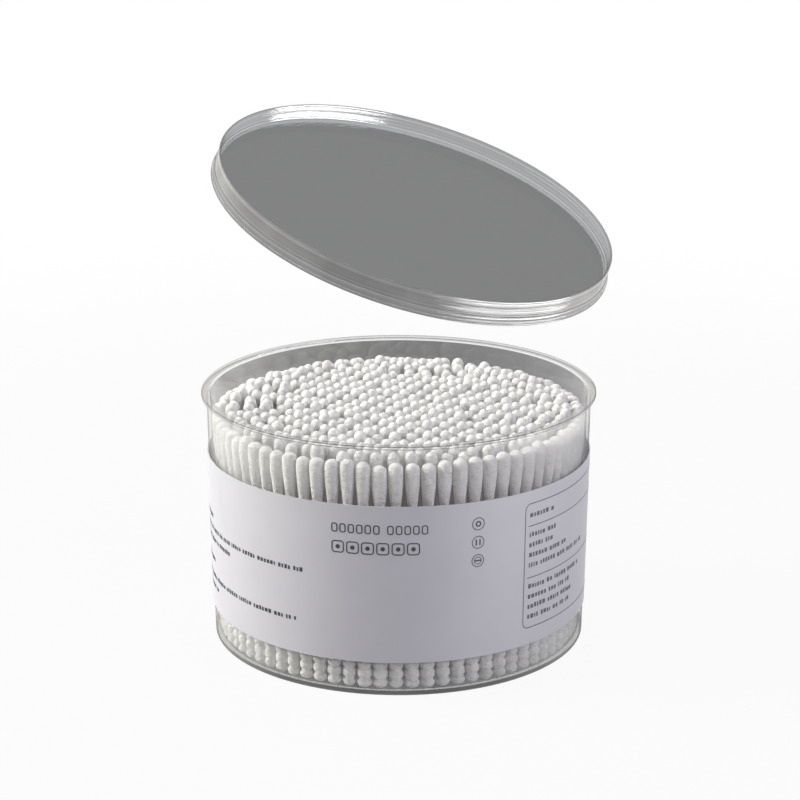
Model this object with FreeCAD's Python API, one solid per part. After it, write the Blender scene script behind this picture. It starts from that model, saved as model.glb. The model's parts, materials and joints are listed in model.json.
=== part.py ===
import FreeCAD, Part

import math
import os
import random

# A round clear tub of double-ended cotton swabs, with its press-on lid lifted off and tilted.
# Millimetres, +Z up, origin at the centre of the tub's foot.

# ---- Tub ----
FOOT_DIAMETER = 118.6
TUB_HEIGHT = 80.0
WALL_THICKNESS = 1.1
BASE_THICKNESS = 1.3
DRAFT_ANGLE = 1.0           # degrees a side, the tub widens upwards
HEEL_RADIUS = 0.8
INNER_CORNER_RADIUS = 1.2
RIM_REACH = 1.6             # how far the flat rim stands out from the wall
RIM_THICKNESS = 1.1
RIM_EDGE_RADIUS = 0.3
RIM_ROOT_RADIUS = 0.4

# ---- Label, one strip wrapped round the wall ----
LABEL_ABOVE_FOOT = 11.0
LABEL_BELOW_RIM = 19.0
LABEL_THICKNESS = 0.3
LABEL_GLUE = 0.1            # adhesive film between the wall and the strip
LABEL_SEAM = 1.0            # open butt seam at the back

# ---- Swabs ----
HEADROOM = 5.0              # from the tops of the swabs up to the rim
LENGTH_SPREAD = 0.6         # longest and shortest swabs, each side of the nominal length
STICK_DIAMETER = 2.3
STICK_COVER = 2.6           # cotton past each end of the stick
STICK_FIT = 0.1             # between the stick and the cotton wound on it
SWAB_ROOM = 0.22            # mean distance between neighbouring tips in the rows that follow the wall
CORE_ROOM = 0.43            # the same in the core, at the tub floor
SWAB_GAP = 0.08             # least distance between neighbouring tips
WALL_GAP = 0.15             # between the outer swabs and the tub wall
BASE_GAP = 0.05             # between the lower tips and the tub floor
WALL_RINGS = 4              # rows of swabs that follow the wall
WALL_ROW_DROP = 1.6         # how much lower the tops of the row at the wall are
CORE_TURN = 3.0             # degrees, the way the hexagonal rows of the core run

ROUND_TIP_DIAMETER = 4.4
ROUND_TIP_LENGTH = 16.5
ROUND_TIP_BELLY = 4.6       # from the top down to the widest place
ROUND_DOME_RADIUS = 2.0
ROUND_DOME_ANGLE = 60.0     # degrees, half the arc of the dome
SHOULDER_FULLNESS = 0.72    # bulge halfway from the dome to the belly, 0.5 is straight
WAIST_FULLNESS = 0.62       # bulge halfway from the neck to the belly
WINDING_END = 0.3           # thickness of the cotton where it runs out on the stick

SPIRAL_TIP_DIAMETER = 4.5
SPIRAL_GROOVE_DEPTH = 0.4
SPIRAL_LOBES = 3
SPIRAL_LOBE_LENGTH = 3.1
NOSE_FULLNESS = 0.67        # bulge of the lowest lobe between its widest place and the groove
SPIRAL_TAPER_LENGTH = 4.2   # plain winding above the lobes

# ---- Lid ----
LID_FIT = 0.15              # between the rim's edge and the top of the skirt
LID_SEAT = 0.05             # between the rim and the lid's panel when the lid is shut
LID_FLARE = 0.25            # how much the skirt opens towards its lip
LID_SKIRT_DEPTH = 1.5       # below the underside of the panel
LID_SKIRT_THICKNESS = 0.6
LID_LIP_HEIGHT = 0.7
LID_LIP_REACH = 0.2         # how far the lip stands out from the skirt
LID_PANEL_THICKNESS = 1.1
LID_STACK_HEIGHT = 5.0      # raised wall round the panel, which another tub's foot stands in
LID_STACK_INSET = 0.35      # step from the skirt's top in to the raised wall
LID_STACK_THICKNESS = 0.6
LID_EDGE_RADIUS = 0.25

# ---- Where the lid is held once it is off ----
LID_TILT = 20.0             # degrees
LID_LIFT = 56.1             # height of the panel above its shut place
LID_LOW_SIDE = -37.0        # degrees from +X, the way the lid leans down
LID_POLE_RISE = 13.0        # the turning axis above the shut panel

SEED = 11

UP = FreeCAD.Vector(0, 0, 1)
ORIGIN = FreeCAD.Vector(0, 0, 0)

# ---- Sizes that follow ----
SLOPE = math.tan(math.radians(DRAFT_ANGLE))
WALL_RUN = WALL_THICKNESS / math.cos(math.radians(DRAFT_ANGLE))
RIM_RADIUS = FOOT_DIAMETER / 2 + TUB_HEIGHT * SLOPE + RIM_REACH
BORE_RADIUS = STICK_DIAMETER / 2 + STICK_FIT
NECK_RADIUS = BORE_RADIUS + WINDING_END
SPIRAL_TIP_LENGTH = SPIRAL_LOBES * SPIRAL_LOBE_LENGTH + SPIRAL_TAPER_LENGTH
SWAB_LENGTH = TUB_HEIGHT - HEADROOM - BASE_THICKNESS - BASE_GAP
TIP_DIAMETER = max(ROUND_TIP_DIAMETER, SPIRAL_TIP_DIAMETER)
RING_PITCH = TIP_DIAMETER + SWAB_ROOM
CORE_PITCH = TIP_DIAMETER + CORE_ROOM
RING_JITTER = (SWAB_ROOM - SWAB_GAP) / 2
CORE_JITTER = (CORE_ROOM - SWAB_GAP) / 2


def point(radius, height):
    """A point of a turned profile: radius from the axis and height."""
    return FreeCAD.Vector(radius, 0, height)


def line(start, end):
    return Part.LineSegment(start, end).toShape()


def arc(start, middle, end):
    return Part.Arc(start, middle, end).toShape()


def turned(edges, angle=360):
    """The solid swept by a closed profile of edges about the Z axis."""
    return Part.Face(Part.Wire(edges)).revolve(ORIGIN, UP, angle)


def bulge(start, end, fullness):
    """A point halfway up between two points, at a share of the way out from the first to the second."""
    return point(start.x + (end.x - start.x) * fullness, (start.z + end.z) / 2)


def rounded_profile(corners):
    """Edges of a closed profile, from corners given as (radius, height, fillet)."""
    places = [point(radius, height) for radius, height, _ in corners]
    entries, exits, bends = [], [], []
    for index, (_, _, fillet) in enumerate(corners):
        here = places[index]
        back = (places[index - 1] - here).normalize()
        ahead = (places[(index + 1) % len(places)] - here).normalize()
        half = back.getAngle(ahead) / 2
        reach = fillet / math.tan(half)
        inwards = (back + ahead).normalize()
        entries.append(here + back * reach)
        exits.append(here + ahead * reach)
        bends.append(here + inwards * (fillet / math.sin(half) - fillet))
    edges = []
    for index, (_, _, fillet) in enumerate(corners):
        if fillet:
            edges.append(arc(entries[index], bends[index], exits[index]))
        edges.append(line(exits[index], entries[(index + 1) % len(corners)]))
    return edges


def wall_outside(height):
    """Outer radius of the tub wall at a height."""
    return FOOT_DIAMETER / 2 + height * SLOPE


def wall_inside(height):
    """Inner radius of the tub wall at a height."""
    return wall_outside(height) - WALL_RUN


def make_tub():
    under_rim = TUB_HEIGHT - RIM_THICKNESS
    return turned(rounded_profile([
        (0, 0, 0),
        (wall_outside(0), 0, HEEL_RADIUS),
        (wall_outside(under_rim), under_rim, RIM_ROOT_RADIUS),
        (RIM_RADIUS, under_rim, RIM_EDGE_RADIUS),
        (RIM_RADIUS, TUB_HEIGHT, RIM_EDGE_RADIUS),
        (wall_inside(TUB_HEIGHT), TUB_HEIGHT, RIM_EDGE_RADIUS),
        (wall_inside(BASE_THICKNESS), BASE_THICKNESS, INNER_CORNER_RADIUS),
        (0, BASE_THICKNESS, 0),
    ]))


def make_label():
    low = LABEL_ABOVE_FOOT
    high = TUB_HEIGHT - LABEL_BELOW_RIM
    inner_low = wall_outside(low) + LABEL_GLUE
    inner_high = wall_outside(high) + LABEL_GLUE
    seam = math.degrees(LABEL_SEAM / inner_low)
    strip = turned(rounded_profile([
        (inner_low, low, 0),
        (inner_low + LABEL_THICKNESS, low, 0),
        (inner_high + LABEL_THICKNESS, high, 0),
        (inner_high, high, 0),
    ]), 360 - seam)
    strip.rotate(ORIGIN, UP, 90 + seam / 2)
    return strip


def make_shut_lid():
    """The lid on the tub's axis, pressed home on the rim."""
    panel_low = TUB_HEIGHT + LID_SEAT
    panel_high = panel_low + LID_PANEL_THICKNESS
    top = panel_high + LID_STACK_HEIGHT
    lip = panel_low - LID_SKIRT_DEPTH
    inside_top = RIM_RADIUS + LID_FIT
    inside_lip = inside_top + LID_FLARE
    outside_top = inside_top + LID_SKIRT_THICKNESS
    lip_start = lip + LID_LIP_HEIGHT
    outside_lip_start = outside_top + LID_FLARE * (panel_low - lip_start) / LID_SKIRT_DEPTH
    outside_lip = inside_lip + LID_SKIRT_THICKNESS + LID_LIP_REACH
    outside_stack = outside_top - LID_STACK_INSET
    recess = outside_stack - LID_STACK_THICKNESS
    return turned(rounded_profile([
        (0, panel_low, 0),
        (inside_top, panel_low, LID_EDGE_RADIUS),
        (inside_lip, lip, 0),
        (outside_lip, lip, LID_EDGE_RADIUS),
        (outside_lip, lip_start, LID_EDGE_RADIUS),
        (outside_lip_start, lip_start, 0),
        (outside_top, panel_low, 0),
        (outside_top, panel_high, LID_EDGE_RADIUS),
        (outside_stack, panel_high, 0),
        (outside_stack, top, LID_EDGE_RADIUS),
        (recess, top, LID_EDGE_RADIUS),
        (recess, panel_high, LID_EDGE_RADIUS),
        (0, panel_high, 0),
    ]))


def lid_turning_axis():
    """A point and the direction of the level axis that carries the lid from shut to lifted."""
    tilt = math.radians(LID_TILT)
    reach = (LID_LIFT - LID_POLE_RISE * (1 - math.cos(tilt))) / math.sin(tilt)
    low_side = FreeCAD.Vector(
        math.cos(math.radians(LID_LOW_SIDE)),
        math.sin(math.radians(LID_LOW_SIDE)),
        0,
    )
    place = low_side * reach + UP * (TUB_HEIGHT + LID_SEAT + LID_POLE_RISE)
    return place, UP.cross(low_side)


def make_lid():
    lid = make_shut_lid()
    place, direction = lid_turning_axis()
    lid.rotate(place, direction, LID_TILT)
    return lid


def bore_edges(mouth, bore_end, nose):
    """Edges from the neck at the mouth, along the bore for the stick, to the axis and on to the nose."""
    return [
        line(point(NECK_RADIUS, mouth), point(BORE_RADIUS, mouth)),
        line(point(BORE_RADIUS, mouth), point(BORE_RADIUS, bore_end)),
        line(point(BORE_RADIUS, bore_end), point(0, bore_end)),
        line(point(0, bore_end), point(0, nose)),
    ]


def dome_point(turn):
    """A point of the round tip's dome, at an angle from its top."""
    centre = ROUND_TIP_LENGTH - ROUND_DOME_RADIUS
    return point(ROUND_DOME_RADIUS * math.sin(turn), centre + ROUND_DOME_RADIUS * math.cos(turn))


def make_round_tip():
    """The smooth tip, with its neck at height 0 and its dome upwards."""
    neck = point(NECK_RADIUS, 0)
    widest = point(ROUND_TIP_DIAMETER / 2, ROUND_TIP_LENGTH - ROUND_TIP_BELLY)
    dome_turn = math.radians(ROUND_DOME_ANGLE)
    dome_end = dome_point(dome_turn)
    return turned([
        arc(dome_point(0), dome_point(dome_turn / 2), dome_end),
        arc(dome_end, bulge(dome_end, widest, SHOULDER_FULLNESS), widest),
        arc(widest, bulge(neck, widest, WAIST_FULLNESS), neck),
        *bore_edges(0, ROUND_TIP_LENGTH - STICK_COVER + STICK_FIT, ROUND_TIP_LENGTH),
    ])


def make_spiral_tip():
    """The lobed tip, nose down at height 0, with its winding running out on the stick above."""
    crest = SPIRAL_TIP_DIAMETER / 2
    groove = crest - SPIRAL_GROOVE_DEPTH
    lobes_end = SPIRAL_LOBES * SPIRAL_LOBE_LENGTH
    eighth_turn = math.pi / 4
    nose_middle = point(crest * math.sin(eighth_turn), crest - crest * math.cos(eighth_turn))
    nose_end = point(crest, crest)
    first_groove = point(groove, SPIRAL_LOBE_LENGTH)
    edges = [
        arc(point(0, 0), nose_middle, nose_end),
        arc(nose_end, bulge(first_groove, nose_end, NOSE_FULLNESS), first_groove),
    ]
    for lobe in range(1, SPIRAL_LOBES):
        low = lobe * SPIRAL_LOBE_LENGTH
        high = low + SPIRAL_LOBE_LENGTH
        edges.append(arc(point(groove, low), point(crest, (low + high) / 2), point(groove, high)))
    edges.append(line(point(groove, lobes_end), point(NECK_RADIUS, SPIRAL_TIP_LENGTH)))
    return turned(edges + bore_edges(SPIRAL_TIP_LENGTH, STICK_COVER - STICK_FIT, 0))


def outer_ring_radius():
    """Radius of the outermost swabs' feet on the tub floor."""
    return wall_inside(BASE_THICKNESS) - WALL_GAP - SPIRAL_TIP_DIAMETER / 2 - RING_JITTER


def ring_places(radius, start):
    """As many places as fit round a circle at the pitch of the rings."""
    count = int(math.pi / math.asin(RING_PITCH / 2 / radius))
    turns = [start + 2 * math.pi * step / count for step in range(count)]
    return [(radius * math.cos(turn), radius * math.sin(turn)) for turn in turns]


def core_places(radius):
    """Hexagonal rows of places, turned by CORE_TURN and cut off at a radius."""
    rows = int(radius / CORE_PITCH) + 2
    turn = math.radians(CORE_TURN)
    places = []
    for row in range(-rows, rows + 1):
        for step in range(-2 * rows, 2 * rows + 1):
            along = (step + row / 2) * CORE_PITCH
            across = row * CORE_PITCH * math.sqrt(3) / 2
            if math.hypot(along, across) <= radius:
                places.append((
                    along * math.cos(turn) - across * math.sin(turn),
                    along * math.sin(turn) + across * math.cos(turn),
                ))
    return places


def swab_groups(chance):
    """Places of the swabs on the tub floor: the wall rings from outside in, then the core in three zones."""
    groups = {}
    for ring in range(WALL_RINGS):
        radius = outer_ring_radius() - ring * RING_PITCH
        groups[f"ring_{ring + 1}"] = ring_places(radius, chance.uniform(0, 1))
    core_radius = outer_ring_radius() - WALL_RINGS * RING_PITCH - (CORE_JITTER - RING_JITTER)
    zones = ["core_inner", "core_middle", "core_outer"]
    for zone in zones:
        groups[zone] = []
    for x, y in core_places(core_radius):
        share = (x * x + y * y) / (core_radius * core_radius)
        zone = min(int(share * len(zones)), len(zones) - 1)
        groups[zones[zone]].append((x, y))
    return groups


def leaning(shape, height, foot, lean):
    """A copy of a shape set at a height along the axis of a swab that stands on foot."""
    placed = shape.copy()
    placed.translate(UP * height)
    placed.Placement = FreeCAD.Placement(foot, FreeCAD.Rotation(UP, lean)).multiply(placed.Placement)
    return placed


def make_swabs():
    """Three nodes for each group of swabs: the sticks, the round tips and the spiral tips."""
    chance = random.Random(SEED)
    round_tip = make_round_tip()
    spiral_tip = make_spiral_tip()
    nodes = {}
    for group, places in swab_groups(chance).items():
        sticks, round_tips, spiral_tips = [], [], []
        jitter = CORE_JITTER if group.startswith("core") else RING_JITTER
        drop = WALL_ROW_DROP if group == "ring_1" else 0
        for x, y in places:
            nudge = jitter * math.sqrt(chance.random())
            way = chance.uniform(0, 2 * math.pi)
            length = SWAB_LENGTH - drop + chance.triangular(-LENGTH_SPREAD, LENGTH_SPREAD)
            foot_x = x + nudge * math.cos(way)
            foot_y = y + nudge * math.sin(way)
            foot = FreeCAD.Vector(foot_x, foot_y, BASE_THICKNESS + BASE_GAP)
            lean = FreeCAD.Vector(foot_x, foot_y, 0) * (SLOPE / outer_ring_radius()) + UP
            stick = Part.makeCylinder(STICK_DIAMETER / 2, length - 2 * STICK_COVER)
            sticks.append(leaning(stick, STICK_COVER, foot, lean))
            round_tips.append(leaning(round_tip, length - ROUND_TIP_LENGTH, foot, lean))
            spiral_tips.append(leaning(spiral_tip, 0, foot, lean))
        nodes[f"sticks_{group}"] = Part.makeCompound(sticks)
        nodes[f"round_tips_{group}"] = Part.makeCompound(round_tips)
        nodes[f"spiral_tips_{group}"] = Part.makeCompound(spiral_tips)
    return nodes


def main():
    nodes = {"tub": make_tub(), "label": make_label(), "lid": make_lid()}
    nodes.update(make_swabs())
    os.makedirs("parts", exist_ok=True)
    for name, shape in nodes.items():
        shape.exportStep(f"parts/{name}.step")
        print(name, len(shape.Solids), "solids,", round(shape.Volume), "mm3, valid", shape.isValid())
    place, direction = lid_turning_axis()
    print("lid axis at", [round(v, 3) for v in place], "along", [round(v, 5) for v in direction])
    print("rim radius", round(RIM_RADIUS, 3), "swab length", round(SWAB_LENGTH, 2))


main()
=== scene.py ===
"""Looks of a clear tub of cotton swabs with its lid lifted off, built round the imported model.

The tub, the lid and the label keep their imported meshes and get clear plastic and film. The swabs and
the label's print are modelled here as surfaces worked out with numpy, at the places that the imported
model gives.
Lengths are in millimetres where a value says so, and in metres everywhere else.
"""

import json
import logging
import math
from dataclasses import dataclass, field
from enum import Enum
from typing import Any

import bpy
import numpy as np
from mathutils import Matrix, Vector


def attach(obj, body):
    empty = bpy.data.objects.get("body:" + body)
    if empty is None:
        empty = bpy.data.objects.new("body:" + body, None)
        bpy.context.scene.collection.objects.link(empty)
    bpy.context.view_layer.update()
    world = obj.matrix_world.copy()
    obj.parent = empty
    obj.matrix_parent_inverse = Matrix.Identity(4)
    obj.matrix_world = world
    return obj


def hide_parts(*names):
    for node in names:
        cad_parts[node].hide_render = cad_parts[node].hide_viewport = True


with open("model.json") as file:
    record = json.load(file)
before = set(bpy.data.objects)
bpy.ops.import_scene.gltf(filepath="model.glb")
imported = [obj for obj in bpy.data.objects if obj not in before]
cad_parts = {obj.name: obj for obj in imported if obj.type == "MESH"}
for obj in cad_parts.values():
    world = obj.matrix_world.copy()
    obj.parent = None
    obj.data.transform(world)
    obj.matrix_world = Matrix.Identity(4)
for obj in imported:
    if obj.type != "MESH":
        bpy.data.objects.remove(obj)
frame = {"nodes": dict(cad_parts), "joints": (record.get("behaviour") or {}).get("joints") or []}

MM = 0.001
WELD = 0.01 * MM            # corners this near count as one
TINY = 1e-9                 # keeps a division clear of nought
SEED = 7
WALL_ROW = "ring_1"
SECOND_ROW = "ring_2"
TUB_BODY = "tub_and_swabs"
# name of the attribute that carries the painted shade between the inner swabs' tips
PAINTED_SHADE_ATTRIBUTE = "painted_crevice_shade"
PATCH_DETAIL = 3.0
PATCH_NOISE = (0.3, 0.7)    # values of the noise that count as its lowest and highest
FIBRE_DETAIL = 4.0
FIBRE_ROUGHNESS = 0.6
Socket = bpy.types.NodeSocket
Triple = tuple[float, float, float]
Pairs = tuple[tuple[float, float], ...]
log = logging.getLogger("tub_of_swabs")


class Slot(str, Enum):
    """The record's material slots."""

    BAMBOO = "bamboo"
    COTTON = "cotton"
    LABEL = "label_paper"


class LampUse(Enum):
    """What a lamp does: light matt surfaces, show in gloss, or both."""

    BOTH = (True, True)
    MATT = (True, False)
    GLOSS = (False, True)


# ---------------------------------------------------------------- meshes


@dataclass
class Surface:
    """A mesh under way: points, and faces with four or three corners.

    Attributes:
        points: Places of the corners, one row each, in metres.
        quads: Corner numbers of the four-sided faces.
        triangles: Corner numbers of the three-sided faces.
    """

    points: np.ndarray
    quads: np.ndarray
    triangles: np.ndarray = field(default_factory=lambda: np.empty((0, 3), int))

    def repeated(self, copies: np.ndarray) -> "Surface":
        """The same faces on many copies of the points.

        Args:
            copies: Points of each copy, as copies by points by three.

        Returns:
            One surface with all the copies.
        """
        steps = np.arange(len(copies))[:, None, None] * len(self.points)
        return Surface(
            copies.reshape(-1, 3),
            (self.quads[None] + steps).reshape(-1, 4),
            (self.triangles[None] + steps).reshape(-1, 3),
        )

    def piece(self, name: str, smooth: bool = True) -> bpy.types.Object:
        """The surface as an object at the origin.

        Args:
            name: Name of the piece.
            smooth: Whether its faces are shaded smooth.

        Returns:
            The new object, linked to the scene.
        """
        mesh = bpy.data.meshes.new(name)
        mesh.from_pydata(self.points.tolist(), [], self.quads.tolist() + self.triangles.tolist())
        mesh.polygons.foreach_set("use_smooth", np.full(len(mesh.polygons), smooth))
        mesh.update()
        made = bpy.data.objects.new(name, mesh)
        bpy.context.scene.collection.objects.link(made)
        return made


def joined(surfaces: list[Surface]) -> Surface:
    """Several surfaces as one.

    Args:
        surfaces: The surfaces, in order.

    Returns:
        One surface, with the corner numbers moved on.
    """
    starts = np.cumsum([0] + [len(one.points) for one in surfaces[:-1]])
    return Surface(
        np.concatenate([one.points for one in surfaces]),
        np.concatenate([one.quads + start for one, start in zip(surfaces, starts)]),
        np.concatenate([one.triangles + start for one, start in zip(surfaces, starts)]),
    )


def grid_quads(rows: int, columns: int, closed: bool) -> np.ndarray:
    """Faces of a grid of points that is stored row by row.

    Args:
        rows: How many rows of points.
        columns: How many points in a row.
        closed: Whether the last point of a row joins the first.

    Returns:
        Corner numbers, four for each face, turning the same way.
    """
    down = np.arange(rows - 1)[:, None] * columns
    here = np.arange(columns if closed else columns - 1)[None, :]
    ahead = (here + 1) % columns
    corners = [down + here, down + ahead, down + columns + ahead, down + columns + here]
    return np.stack(corners, axis=-1).reshape(-1, 4)


def turned(profile: np.ndarray, segments: int) -> Surface:
    """A closed solid of revolution about Z, with a point on the axis at each end.

    Point (i, j) lies at radius r(i), height h(i) and angle 2 pi j / segments.

    Args:
        profile: Radius and height of each ring, from the lowest up, without the two ends' poles,
            which close it at the first and last heights.
        segments: Points in a ring.

    Returns:
        The surface, with its faces outwards.
    """
    angle = 2 * np.pi * np.arange(segments) / segments
    radius, height = profile[:, 0, None], profile[:, 1, None]
    rings = np.stack(
        [radius * np.cos(angle), radius * np.sin(angle), np.broadcast_to(height, (len(profile), segments))],
        axis=-1,
    ).reshape(-1, 3)
    poles = np.array([[0, 0, profile[0, 1]], [0, 0, profile[-1, 1]]])
    count = len(rings)
    here = np.arange(segments)
    ahead = (here + 1) % segments
    last = count - segments
    low = np.stack([np.full(segments, count), ahead, here], axis=-1)
    high = np.stack([np.full(segments, count + 1), last + here, last + ahead], axis=-1)
    return Surface(
        np.concatenate([rings, poles]),
        grid_quads(len(profile), segments, closed=True),
        np.concatenate([low, high]),
    )


# ---------------------------------------------------------------- shader nodes


class Graph:
    """A node tree with short calls that add and join its nodes."""

    def __init__(self, tree: bpy.types.NodeTree) -> None:
        """Keeps the tree.

        Args:
            tree: The node tree of a material, a world or a group.
        """
        self.tree = tree

    def node(self, kind: str, inputs: dict[Any, Any] | None = None, **settings: Any) -> bpy.types.Node:
        """Adds a node.

        Args:
            kind: The node's type, without the leading "ShaderNode".
            inputs: For each input name or number, a socket to join or a plain value to set.
            settings: Settings of the node itself.

        Returns:
            The new node.
        """
        made = self.tree.nodes.new("ShaderNode" + kind)
        for name, value in settings.items():
            setattr(made, name, value)
        for name, value in (inputs or {}).items():
            if isinstance(value, Socket):
                self.tree.links.new(value, made.inputs[name])
            else:
                made.inputs[name].default_value = value
        return made

    def math(self, operation: str, *values: Any) -> Socket:
        """The result of one arithmetic step on sockets or numbers."""
        return self.node("Math", dict(enumerate(values)), operation=operation).outputs[0]

    def blend(self, share: Any, first: Any, second: Any) -> Socket:
        """A colour between two, at a share of the way from the first to the second."""
        return self.node("Mix", {0: share, 6: first, 7: second}, data_type="RGBA").outputs[2]

    def between(self, share: Any, first: Any, last: Any) -> Socket:
        """A value between two, at a share of the way from the first to the last."""
        return self.node("Mix", {0: share, 2: first, 3: last}, data_type="FLOAT").outputs[0]

    def step(self, value: Any, low: float, high: float, first: float = 0.0, last: float = 1.0) -> Socket:
        """A value that runs smoothly from first to last while its input runs from low to high."""
        inputs = {"Value": value, "From Min": low, "From Max": high, "To Min": first, "To Max": last}
        return self.node("MapRange", inputs, interpolation_type="SMOOTHSTEP").outputs[0]

    def ramp(self, value: Any, stops: Pairs) -> Socket:
        """A value that runs straight from stop to stop.

        Args:
            value: The input, from 0 to 1.
            stops: Input and output at each stop, in rising order.

        Returns:
            The value's socket.
        """
        made = self.node("ValToRGB", {"Fac": value})
        elements = made.color_ramp.elements
        while len(elements) < len(stops):
            elements.new(1.0)
        for element, (where, level) in zip(elements, stops):
            element.position = where
            element.color = rgba((level,) * 3)
        return made.outputs["Color"]

    def patches(self, place: Socket, scale: Any, low: Any, high: Any) -> Socket:
        """Soft uneven patches: noise at a scale, drawn out to run between two values."""
        noise = self.node("TexNoise", {"Vector": place, "Scale": scale, "Detail": PATCH_DETAIL})
        ends = {"From Min": PATCH_NOISE[0], "From Max": PATCH_NOISE[1], "To Min": low, "To Max": high}
        return self.node("MapRange", {"Value": noise.outputs[0], **ends}).outputs[0]

    def about_axis(self, place: Socket) -> tuple[Socket, Socket, Socket]:
        """The height of a place, its level part as a vector from the Z axis, and its distance from it."""
        parts = self.node("SeparateXYZ", {0: place}).outputs
        level = self.node("CombineXYZ", {0: parts[0], 1: parts[1]}).outputs[0]
        return parts[2], level, self.node("VectorMath", {0: level}, operation="LENGTH").outputs["Value"]

    def faces_in(self, normal: Socket, level: Socket) -> Socket:
        """One where a face looks towards the axis, else nought."""
        outwards = self.node("VectorMath", {0: normal, 1: level}, operation="DOT_PRODUCT")
        return self.math("LESS_THAN", outwards.outputs["Value"], 0.0)

    def place(self) -> Socket:
        """The place on the object, in the shared frame."""
        return self.node("TexCoord").outputs["Object"]


def new_material(name: str) -> tuple[bpy.types.Material, Graph, bpy.types.Node]:
    """An empty material.

    Args:
        name: Name of the material.

    Returns:
        The material, its graph and its output node.
    """
    material = bpy.data.materials.new(name)
    material.use_nodes = True
    material.node_tree.nodes.clear()
    graph = Graph(material.node_tree)
    return material, graph, graph.node("OutputMaterial")


def rgba(colour: Triple) -> tuple[float, float, float, float]:
    """A colour with full cover, as shader sockets take it."""
    return (*colour, 1.0)


class Groups:
    """Shader effects that more than one material uses, each built once."""

    def __init__(self) -> None:
        """Builds the groups."""
        self.mottle = self._mottle()
        self.fibres = self._fibres()

    @staticmethod
    def _new(name: str, inputs: dict[str, Any], outputs: dict[str, str]) -> tuple[Graph, Any, Any]:
        """An empty group.

        Args:
            name: Name of the group.
            inputs: For each input its starting value, or None for a vector.
            outputs: For each output its socket type.

        Returns:
            The group's graph, its input node and its output node.
        """
        tree = bpy.data.node_groups.new(name, "ShaderNodeTree")
        for label, value in inputs.items():
            kind = "NodeSocketVector" if value is None else "NodeSocketFloat"
            socket = tree.interface.new_socket(label, in_out="INPUT", socket_type=kind)
            if value is not None:
                socket.default_value = value
        for label, kind in outputs.items():
            tree.interface.new_socket(label, in_out="OUTPUT", socket_type=kind)
        return Graph(tree), tree.nodes.new("NodeGroupInput"), tree.nodes.new("NodeGroupOutput")

    def _mottle(self) -> bpy.types.NodeTree:
        """Soft uneven patches that run between two values."""
        graph, given, out = self._new(
            "mottle",
            {"Place": None, "Scale": 100.0, "Low": 0.0, "High": 1.0},
            {"Value": "NodeSocketFloat"},
        )
        drawn = graph.patches(*(given.outputs[name] for name in ("Place", "Scale", "Low", "High")))
        graph.tree.links.new(drawn, out.inputs["Value"])
        return graph.tree

    def _fibres(self) -> bpy.types.NodeTree:
        """Fine strands: noise drawn out along or across Z, by how much the heights are stretched."""
        graph, given, out = self._new(
            "fibres",
            {"Place": None, "Scale": 600.0, "Stretch": 4.0},
            {"Height": "NodeSocketFloat"},
        )
        parts = graph.node("SeparateXYZ", {0: given.outputs["Place"]})
        across = graph.math("MULTIPLY", parts.outputs[2], given.outputs["Stretch"])
        drawn = graph.node("CombineXYZ", {0: parts.outputs[0], 1: parts.outputs[1], 2: across})
        noise = graph.node(
            "TexNoise",
            {"Vector": drawn.outputs[0], "Scale": given.outputs["Scale"], "Detail": FIBRE_DETAIL,
             "Roughness": FIBRE_ROUGHNESS},
        )
        graph.tree.links.new(noise.outputs[0], out.inputs["Height"])
        return graph.tree

    def ripples(
        self, graph: Graph, place: Socket, scale: float, depth: float, strength: float, **under: Socket
    ) -> Socket:
        """The direction of a face with soft ripples on it.

        Args:
            graph: The graph to add them to.
            place: The place on the object.
            scale: How fine the ripples are.
            depth: Their depth, in metres.
            strength: How strongly they show.
            under: As Normal, the direction that they lie on, where it isn't the plain face.

        Returns:
            The direction.
        """
        height = use_group(graph, self.mottle, Place=place, Scale=scale)
        inputs = {"Height": height, "Distance": depth, "Strength": strength, **under}
        return graph.node("Bump", inputs).outputs[0]


def use_group(graph: Graph, tree: bpy.types.NodeTree, **inputs: Any) -> Socket:
    """Places a group in a graph and gives its first output.

    Args:
        graph: The graph to add it to.
        tree: The group.
        inputs: The group's inputs by name.

    Returns:
        The group's first output.
    """
    return graph.node("Group", inputs, node_tree=tree).outputs[0]


# ---------------------------------------------------------------- finishes


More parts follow.
